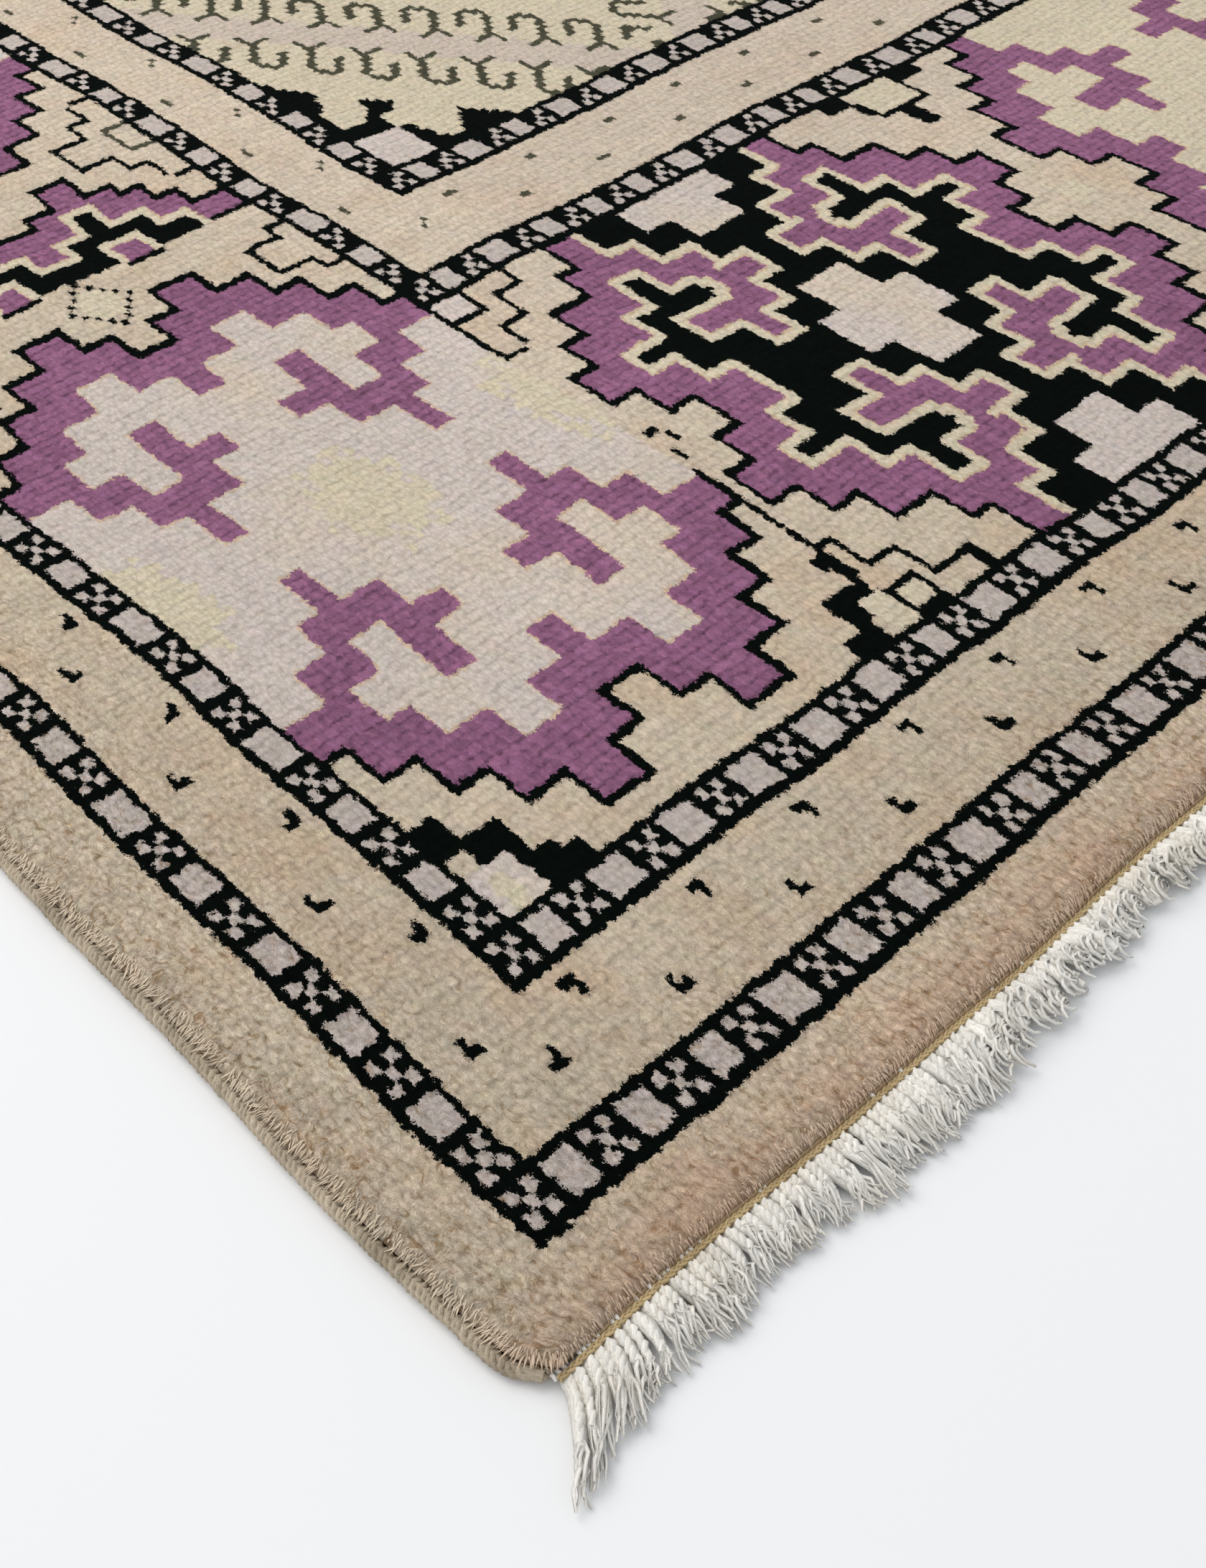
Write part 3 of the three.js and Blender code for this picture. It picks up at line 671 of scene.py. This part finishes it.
def spin(name, strands, sides, yarn, flatness=1.0, places=None):
    """Yarns along paths. Each of the strands is paths (yarns by points by xyz, mm), radii and tones that fit
    them. Places are the yarns' knots on the chart."""
    points, radii, tones, along, edges, first = [], [], [], [], [], 0
    for paths, radius, tone in strands:
        count, length = paths.shape[:2]
        points.append(paths.reshape(-1, 3))
        radii.append(np.broadcast_to(radius, (count, length)).ravel())
        tone = np.reshape(tone, (-1, 1)) if np.ndim(tone) == 1 else tone
        tones.append(np.broadcast_to(tone, (count, length)).ravel())
        steps = np.linalg.norm(np.diff(paths, axis=1), axis=2)
        along.append(np.concatenate((np.zeros((count, 1)), np.cumsum(steps, axis=1)), axis=1).ravel())
        at = first + np.arange(count * length).reshape(count, length)
        edges.append(np.stack((at[:, :-1], at[:, 1:]), -1).reshape(-1, 2))
        first += count * length
    points, edges = np.concatenate(points) * MM, np.concatenate(edges)
    mesh = bpy.data.meshes.new(name)
    mesh.vertices.add(len(points))
    mesh.vertices.foreach_set("co", points.astype(np.float32).ravel())
    mesh.edges.add(len(edges))
    mesh.edges.foreach_set("vertices", edges.astype(np.int32).ravel())
    write(mesh, "thick", "POINT", np.concatenate(radii) * MM)
    write(mesh, "tone", "POINT", np.concatenate(tones))
    write(mesh, "along", "POINT", np.concatenate(along))
    if places is not None:
        flat_places = np.column_stack((places, 0 * places[:, 0]))
        write(mesh, "knot", "POINT", np.repeat(flat_places, length, axis=0))
    piece = bpy.data.objects.new(name, mesh)
    bpy.context.scene.collection.objects.link(piece)
    maker = piece.modifiers.new("yarn", "NODES")
    maker.node_group = yarn_tree
    for label, value in (("Sides", sides), ("Flatness", float(flatness)), ("Yarn", yarn)):
        maker[yarn_inputs[label]] = value
    made = bpy.data.meshes.new_from_object(piece.evaluated_get(bpy.context.evaluated_depsgraph_get()))
    piece.modifiers.remove(maker)
    piece.data = made
    made.name = name
    made.shade_smooth()
    return piece


def half_turn(paths):
    return paths * (-1, -1, 1)


# streaks of single fibres along a yarn
streak_outputs = [("Streak", "Float"), ("Tone", "Float")]
streak_group, given, result = group("fibres along a yarn", [("Fineness", "Float")], streak_outputs)
tree = streak_group
across_yarn = combined(tree, given.outputs[0], given.outputs[0])
along, tone = attribute(tree, "along", "Fac"), attribute(tree, "tone", "Fac")
run = combined(tree, times(tree, tone, 31.0), 0.0, times(tree, along, 0.22))
round_yarn = vectors(tree, "MULTIPLY", attribute(tree, "around"), across_yarn)
tree.links.new(noise(tree, vectors(tree, "ADD", round_yarn, run), 1.0, 3.0, 0.7)[0], result.inputs["Streak"])
tree.links.new(tone, result.inputs["Tone"])

nap_wool, tree, skin = dull("brushed wool tufts", 0.1)
dyed = shared(tree, dye_group, {"Wool": BEIGE, "Place": attribute(tree, "knot")})["Color"]
fibres = shared(tree, streak_group, {"Fineness": 3.5})
# painted shade and painted light: each tuft is darker at its root and lighter towards its tip, over its streaks of
# fibre and its own tone
bright = times(
    tree, spread(tree, attribute(tree, "along", "Fac"), 0.3, 3.0, 1.0, 1.22),
    spread(tree, fibres["Streak"], 0.3, 0.7, 0.80, 1.22), spread(tree, fibres["Tone"], 0.0, 1.0, 0.90, 1.16),
)
tree.links.new(scaled(tree, dyed, bright), skin.inputs["Base Color"])
# how far in from the edge, and the height there
NAP_OVER_SIDE = ((-6.6, 4.0), (-5.4, 6.1), (-3.4, 7.1), (-1.0, 7.0), (0.9, 7.7), (2.8, 9.1))
NAP_OVER_END = ((-3.0, 3.6), (-1.6, 5.0), (-0.4, 6.4), (0.9, 7.7), (2.8, 9.1))


def nap(count, along_side, over, farthest):
    """Free tufts in one rim: their paths, radii, tones and places on the chart."""
    run, inset = rng.uniform(0, 1, count), NAP_DEPTH * rng.uniform(0, 1, count) ** 1.3
    u, v = (inset / KNOT, run * ALONG) if along_side else (run * ACROSS, inset / ROW)
    x, y = lay(u, v)
    edges_away = (u * KNOT, (ACROSS - u) * KNOT, v * ROW, (ALONG - v) * ROW)
    pull = [np.maximum(0, 1 - away / NAP_TURN) ** 2 for away in edges_away]
    heading = np.arctan2(pull[3] - pull[2], pull[1] - pull[0])
    heading = heading + 0.22 * np.sin(x / 7 + y / 5) + 0.15 * np.sin(x / 3.1 - y / 4.3) + rng.normal(0, 0.26, count)
    reach = rng.uniform(1.2, 5.4 if along_side else 4.8, count)
    reach = np.minimum(reach, inset + farthest + rng.uniform(-1.2, 0.6, count))
    paths = []
    for share, lift in ((-0.1, -0.7), (0.4, 0.15), (1.0, 0.0)):
        far = share * reach
        height = np.interp(inset - np.maximum(far, 0), *zip(*over)) + lift
        height = np.maximum(height + (share > 0) * rng.uniform(-0.2, 0.25, count), 0.4)
        paths.append(np.stack((x + far * np.cos(heading), y + far * np.sin(heading), height), -1))
    radii = rng.uniform(0.4, 0.9, (count, 1)) * (0.60, 0.62, 0.15)
    return np.stack(paths, 1), radii, rng.uniform(0, 1, count), np.stack((u, v), -1)


for count, along_side, over, farthest, names in (
    (NAP_SIDE * ALONG, True, NAP_OVER_SIDE, 5.6, ("left", "right")),
    (NAP_END * ACROSS, False, NAP_OVER_END, 1.7, ("near", "far")),
):
    paths, radii, tones, places = nap(count, along_side, over, farthest)
    for name, turned, seen in zip(names, (paths, half_turn(paths)), (places, (ACROSS, ALONG) - places)):
        piece = spin(f"brushed_rim_{name}", [(turned, radii, tones)], 3, nap_wool, 0.4, seen)
        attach(piece, "root")

# Overcast selvedges: along each side one cord of warps, wrapped over and over with tan wool yarn.
# The wrapping leans a little, covers the cord wholly, and is worn grey in places.
GAP = 0.3
SELVEDGE_WIDTH, SELVEDGE_HEIGHT = 6.2, 6.8
WRAP_PITCH, WRAP_POINTS, WRAP_RADIUS = 2.3, 7, 1.3
WRAP_LEAN, ENDS_DRAWN = 1.1, 8.0  # mm that the top of a turn leads its bottom, and over which the ends narrow


def yarn_material(name, colour, soil, fineness, relief_depth):
    """Spun yarn: fibres streak along it, each yarn has its own tone, and soil darkens it in patches."""
    made, tree, skin = dull(name, 0.15)
    fibres = shared(tree, streak_group, {"Fineness": fineness})
    place = node(tree, "ShaderNodeTexCoord").outputs["Object"]
    patches = spread(tree, noise(tree, place, 38.0, 3.0, 0.6)[0], 0.46, 0.70)
    fuzz = noise(tree, place, 2200.0, 2.0, 0.6)[0]
    bright = times(
        tree, spread(tree, fibres["Streak"], 0.3, 0.7, 0.76, 1.14),
        spread(tree, fibres["Tone"], 0.0, 1.0, 0.88, 1.08), spread(tree, fuzz, 0.3, 0.7, 0.9, 1.08),
    )
    soiled = blend(tree, patches, linear(*colour), linear(*soil))
    tree.links.new(scaled(tree, soiled, bright), skin.inputs["Base Color"])
    raised(tree, skin, plus(tree, fibres["Streak"], fuzz), relief_depth)
    return made


selvedge_wool = yarn_material("tan overcast wool", (210, 194, 170), (178, 163, 140), 3.0, 0.8)
stations = np.linspace(near_edge(-HALF_WIDTH) + 1.0, -near_edge(HALF_WIDTH) - 1.0, 240)
turns = int((stations[-1] - stations[0]) / WRAP_PITCH)
at = np.linspace(0, 1, turns * WRAP_POINTS + 1)
angle = 2 * math.pi * turns * at
middle = SELVEDGE_HEIGHT / 2
reach_x, reach_z = SELVEDGE_WIDTH / 2 - WRAP_RADIUS, SELVEDGE_HEIGHT / 2 - WRAP_RADIUS


def each_turn(low, high):
    """A value for every turn of the wrapping, easing from one turn to the next."""
    return np.interp(at * turns, np.arange(turns + 1), rng.uniform(low, high, turns + 1))


wrapped = stations[-1] - stations[0]
along = stations[0] + wrapped * at + each_turn(-0.35, 0.35) + WRAP_LEAN * each_turn(0.4, 1.7) * np.cos(angle)
tight = np.clip(np.minimum(at, 1 - at) * wrapped / ENDS_DRAWN, 0, 1) ** 0.5  # 0 at the very ends
reach_x, reach_z = (reach * each_turn(0.78, 1.12) * (0.35 + 0.65 * tight) for reach in (reach_x, reach_z))
wrap = np.stack((
    left_edge(along) - GAP - SELVEDGE_WIDTH / 2 + 2.3 * (1 - tight) + reach_x * np.sin(angle), along,
    middle - (1 - tight) + reach_z * np.cos(angle),
), -1)[None]
wrap_radius, wrap_tone = (WRAP_RADIUS * each_turn(0.8, 1.15))[None], each_turn(0, 1)[None]
core = np.stack((left_edge(stations) - GAP - SELVEDGE_WIDTH / 2, stations, 0 * stations + middle), -1)[None]
for name, turned in (("left", (wrap, core)), ("right", (half_turn(wrap), half_turn(core)))):
    piece = spin(f"overcast_{name}", [(turned[0], wrap_radius, wrap_tone), (turned[1], 2.4, 0.3)], 4, selvedge_wool)
    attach(piece, "root")
    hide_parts(f"selvedge_{name}")

# End finishes: outside the last row of knots a few rows of weft, the ends of the white cotton warps
# coming up through them, and over these a chain stitch of tan thread that locks the rows.
WEFT_ROWS = ((0.5, 1.2, 3.6), (1.9, 1.1, 3.3), (3.6, 0.9, 2.3))  # out from the pile, radius, height
STITCH_OUT, STITCH_HEIGHT, STITCH_SWING, STITCH_LIFT = 2.6, 4.2, 0.75, 0.35
STITCH_PITCH, STITCH_RADIUS, STITCH_STEP, STITCH_STRANDS = 7.4, 0.60, 1.25, 3
WARP_PITCH = KNOT / 2
WARP_HUMP = ((-0.3, 3.2), (0.5, 4.4), (1.3, 4.5), (2.0, 3.6))  # out from the pile, and height
UNDER_SIDE = 4.5  # mm that the finish runs on past the corner of the pile, to the end of the overcasting
cotton = yarn_material("white cotton warp", (248, 244, 236), (236, 229, 216), 4.0, 0.3)
stitch_thread = yarn_material("tan stitch thread", (204, 180, 136), (184, 160, 118), 2.0, 0.3)
weft_wool = yarn_material("brown weft", (196, 170, 136), (176, 150, 116), 2.0, 0.3)
first_x, last_x = left_edge(-HALF_LENGTH) - UNDER_SIDE, UNDER_SIDE - left_edge(HALF_LENGTH)
across = np.linspace(first_x + 1.2, last_x - 1.2, int((last_x - first_x) / STITCH_STEP))
edge_y = near_edge(across)
inner = abs(across[::9]) < HALF_WIDTH - CORNER_DRAW
weft_x, weft_y = across[::9][inner], edge_y[::9][inner]
wefts = np.stack([np.stack((weft_x, weft_y - GAP - out, 0 * weft_x + high), -1) for out, _, high in WEFT_ROWS])
weft_radii = np.array([radius for _, radius, _ in WEFT_ROWS])[:, None]
swing = 2 * math.pi * (across / STITCH_PITCH + np.arange(STITCH_STRANDS)[:, None] / STITCH_STRANDS)
stitch = np.stack((
    np.broadcast_to(across, swing.shape),
    edge_y - GAP - STITCH_OUT + STITCH_SWING * np.sin(swing),
    STITCH_HEIGHT + STITCH_LIFT * np.sin(2 * swing),
), -1)
warp_x = np.arange(first_x + 1, last_x - 1, WARP_PITCH)
warp_x = warp_x + rng.uniform(-0.2, 0.2, len(warp_x))
bare = np.exp(-(HALF_WIDTH - abs(warp_x)) / 45)  # most show near the corners, further in the pile hides them
warp_x = warp_x[rng.uniform(0, 1, len(warp_x)) < 0.04 + bare]
warps = np.stack([
    np.stack((warp_x, near_edge(warp_x) - out - GAP, 0 * warp_x + high), -1) for out, high in WARP_HUMP
], 1)
warps[:, :, 2] += rng.uniform(-0.5, 0.3, (len(warp_x), 1))


def gather(name, pieces):
    """Joins finished meshes into one piece."""
    with bpy.context.temp_override(active_object=pieces[0], selected_editable_objects=pieces):
        bpy.ops.object.join()
    pieces[0].name = pieces[0].data.name = name
    return pieces[0]


for name, turn in (("near", np.array), ("far", half_turn)):
    piece = gather(f"chain_stitch_{name}", [
        spin("stitch", [(turn(stitch), STITCH_RADIUS, np.array((0.2, 0.6, 0.9)))], 3, stitch_thread),
        spin("wefts", [(turn(wefts), weft_radii, 0.4)], 4, weft_wool),
        spin("warps", [(turn(warps), 0.72, rng.uniform(0.3, 1, len(warp_x)))], 3, cotton),
    ])
    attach(piece, "root")
    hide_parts(f"end_finish_{name}")

# Fringes: the ends of the warps, two plied together at every knot. Each is a tight rope where it leaves
# the chain stitch, and opens into a fan of loose yarns. Away from the corners the fans are crumpled.
LOCKS = 120
FRINGE_LENGTH, ROOT_OUT = 22.5, 3.9
LENGTH_WAVES = ((210, 2.2, 0.4), (57, 1.5, 2.2), (31, 0.9, 5.0))
LEAN_WAVES = ((330, 2.0, 3.4), (90, 1.4, 0.7), (37, 1.2, 2.0))
CORNER_LOCKS = (0.5, 1.5, 2.5, 3.5, 5.0)
CORNER_SPLAY, CORNER_EXTRA = (22.0, 12.0, 6.0, 3.0, 0.0), (5.0, 4.0, 2.6, 1.0, 0.0)
# share of the length, and height
ROPE_LINE = ((0, 2.8), (0.12, 4.4), (0.4, 4.4), (0.7, 3.4), (1.0, 2.2), (1.3, 1.4))
PLY_RADIUS, PLY_OUT, PLY_PITCH = 1.15, 0.85, 5.4
CRUMPLED = ((0, 0.0), (100, 0.15), (220, 0.75), (340, 1.0))  # mm from a corner, and how crumpled
# crumpled or not, how many to a strand, points, sides, half width, flatness, spread to a side, height over it
LOOSE = (
    (False, 1, 5, 4, 2.6, 0.45, 0.3, -1.2),
    (False, 7, 6, 3, 0.95, 0.5, 2.9, 0.2),
    (False, 2, 6, 3, 0.28, 1.0, 2.6, 1.3),
    (True, 1, 4, 4, 3.1, 0.6, 0.3, -0.6),
    (True, 5, 13, 3, 0.85, 0.8, 2.4, 0.8),
)
strand = np.arange(ACROSS)
root_x = KNOT * (strand + 0.5) - HALF_WIDTH + rng.uniform(-0.35, 0.35, ACROSS)
root_x *= (abs(first_x) - 2.0) / HALF_WIDTH  # the outermost strands stand at the ends of the overcasting
root_y = near_edge(root_x) - ROOT_OUT
lock = strand * LOCKS / ACROSS
from_corner = np.minimum(lock, LOCKS - lock) + 0.5
outward = np.where(lock < LOCKS / 2, -1, 1)
lock_x = (np.floor(lock) + 0.5) * ACROSS / LOCKS * KNOT - HALF_WIDTH
crumple = np.interp(HALF_WIDTH - abs(root_x), *zip(*CRUMPLED))
crumple *= 0.85 + 0.15 * np.sin(root_x / 17) * np.sin(root_x / 41 + 1)
length = FRINGE_LENGTH + waves(LENGTH_WAVES, root_x) + np.interp(from_corner, CORNER_LOCKS, CORNER_EXTRA)
length += rng.uniform(-3.0, 1.0, ACROSS)
length *= 1 - 0.1 * crumple
lean = waves(LEAN_WAVES, root_x) + outward * np.interp(from_corner, CORNER_LOCKS, CORNER_SPLAY)
lean += 0.12 * (lock_x - root_x)
lean += rng.normal(0, 1.1, ACROSS) * (1 + crumple)
rope_share = np.clip(rng.normal(0.46, 0.13, ACROSS) - 0.22 * crumple, 0.12, 0.8)
lift = rng.uniform(-0.3, 1.0, ACROSS) + 2.2 * crumple * rng.uniform(0.3, 1, ACROSS)
curl = rng.uniform(0.3, 1.0, ACROSS) + 1.6 * crumple * rng.uniform(0.2, 1, ACROSS)
curl_phase = rng.uniform(0, 6.28, ACROSS)


def strand_line(share, some):
    """The middle line of some strands at these shares of their length: strands by points by xyz."""
    wave = np.sin(5.5 * share + curl_phase[some, None]) - np.sin(curl_phase[some])[:, None]
    return np.stack((
        root_x[some, None] + lean[some, None] * share ** 1.4 + curl[some, None] * share * wave,
        root_y[some, None] - length[some, None] * share,
        np.interp(share, *zip(*ROPE_LINE)) + lift[some, None] * np.sin(math.pi * np.clip(share, 0, 1)) ** 2,
    ), -1)


spun = []  # sides, flatness, and the yarns: paths, radii, tones
for crumpled, points in ((False, 9), (True, 5)):
    some = np.flatnonzero((crumple > 0.45) == crumpled)
    share, phase = np.linspace(0, 1, points) * rope_share[some, None], rng.uniform(0, 6.28, (len(some), 1))
    plies = []
    for ply in (0, math.pi):
        twist = 2 * math.pi * share * length[some, None] / PLY_PITCH + phase + ply
        path = strand_line(share, some) + PLY_OUT * np.stack((np.cos(twist), 0 * twist, np.sin(twist)), -1)
        plies.append((path, PLY_RADIUS * np.linspace(1, 0.85, points), rng.uniform(0.3, 1, len(some))))
    spun.append((4, 1.0, plies))
    bend, swing_out, tossed, tip = ((9, 16), (1.2, 2.7), 2.0, 0.7) if crumpled else ((4, 9), (0.4, 1.7), 1.3, 0.5)
    for when_crumpled, number, points, sides, half_width, flatness, spread_out, over in LOOSE:
        if when_crumpled != crumpled:
            continue
        yarns, opening, shape = [], np.linspace(0, 1, points), (len(some), 1)
        taper = np.interp(opening, (0, 0.3, 0.6, 1), (0.95, 1.05, 0.9, tip))
        for n in range(number):
            start, end = rope_share[some] - 0.1, np.ones(len(some))
            if number == 1:
                start, end = np.zeros(len(some)), 0.8 * end
            elif crumpled:
                start, end = rng.uniform(0, 0.45, len(some)), rng.uniform(0.55, 1.05, len(some))
            share = start[:, None] + (end - start)[:, None] * opening * rng.uniform(0.8, 1.06, shape)
            aside = spread_out * (2 * (n + 0.5) / number - 1) + rng.normal(0, 0.5, len(some))
            fan = np.stack((aside, 0 * some, over + tossed * rng.uniform(-0.6, 1, len(some))), -1)
            bends, phase = rng.uniform(*bend, shape) * opening, rng.uniform(0, 6.28, shape)
            loops = np.stack((
                np.cos(phase + bends), 0.9 * np.sin(phase + bends), 0.8 * np.sin(phase + 1.2 + 0.8 * bends),
            ), -1)
            curled = (number > 1) * rng.uniform(*swing_out, shape) * np.minimum(1, 2.5 * opening)
            path = strand_line(share, some) + fan[:, None] * opening[:, None] ** 0.7 + curled[..., None] * loops
            path[..., 2] = np.maximum(path[..., 2], half_width * flatness * taper + 0.1)
            yarns.append((path, half_width * taper * rng.uniform(0.75, 1.15, shape), rng.uniform(0, 1, len(some))))
        spun.append((sides, flatness, yarns))
for name, turn in (("near", np.array), ("far", half_turn)):
    piece = gather(f"warp_fringe_{name}", [
        spin("yarns", [(turn(path), radii, tones) for path, radii, tones in yarns], sides, cotton, flatness)
        for sides, flatness, yarns in spun
    ])
    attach(piece, "root")
    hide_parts(f"fringe_{name}")

# Studio: the rug lies on a pale floor under a wide soft light, seen from above its near left corner.
FLOOR_SIZE = 8.0
floor_corners = np.array(((-1, -1, 0), (1, -1, 0), (1, 1, 0), (-1, 1, 0))) * FLOOR_SIZE / 2 / MM
floor = plain_mesh("floor", floor_corners, [(0, 1, 2, 3)])
paper = bpy.data.materials.new("pale floor")
paper.use_nodes = True
paper.node_tree.nodes["Principled BSDF"].inputs["Base Color"].default_value = (0.85, 0.85, 0.85, 1)
paper.node_tree.nodes["Principled BSDF"].inputs["Roughness"].default_value = 1.0
floor.data.materials.append(paper)
world = bpy.data.worlds.new("studio")
world.use_nodes = True
world.node_tree.nodes["Background"].inputs["Color"].default_value = (0.93, 0.96, 1.0, 1)
world.node_tree.nodes["Background"].inputs["Strength"].default_value = 0.72
bpy.context.scene.world = world
lamp = bpy.data.lights.new("soft light", "AREA")
lamp.shape, lamp.size, lamp.energy = "SQUARE", 3.0, 75.0
lamp.color = (1.0, 0.97, 0.93)
lamp_object = bpy.data.objects.new("soft light", lamp)
lamp_object.location = (-1.0, 1.2, 2.6)
lamp_object.rotation_euler = (math.radians(-25), math.radians(-22), 0)
bpy.context.scene.collection.objects.link(lamp_object)
bpy.context.scene.view_settings.view_transform = "Standard"

CAMERA_AT = (-0.8980, -1.3119, 0.4873)
CAMERA_DOWN, CAMERA_ROUND, CAMERA_ROLL = 46.546, 46.549, 0.640  # degrees below level, round from +X, and rolled
PHOTO_LONG_SIDE, FOCAL_PIXELS, SENSOR = 2185, 2673.59, 36.0
down, turn, roll = (math.radians(angle) for angle in (CAMERA_DOWN, CAMERA_ROUND, CAMERA_ROLL))
ahead = np.array((math.cos(down) * math.cos(turn), math.cos(down) * math.sin(turn), -math.sin(down)))
right = np.cross(ahead, (0, 0, 1))
right /= np.linalg.norm(right)
below = np.cross(ahead, right)
right, below = (
    math.cos(roll) * right + math.sin(roll) * below, math.cos(roll) * below - math.sin(roll) * right,
)
lens = bpy.data.cameras.new("camera")
lens.lens, lens.sensor_height, lens.sensor_fit = FOCAL_PIXELS / PHOTO_LONG_SIDE * SENSOR, SENSOR, "VERTICAL"
lens.clip_start = 0.01
camera = bpy.data.objects.new("camera", lens)
camera.matrix_world = Matrix([[right[n], -below[n], -ahead[n], CAMERA_AT[n]] for n in range(3)] + [[0, 0, 0, 1]])
bpy.context.scene.collection.objects.link(camera)
bpy.context.scene.camera = camera
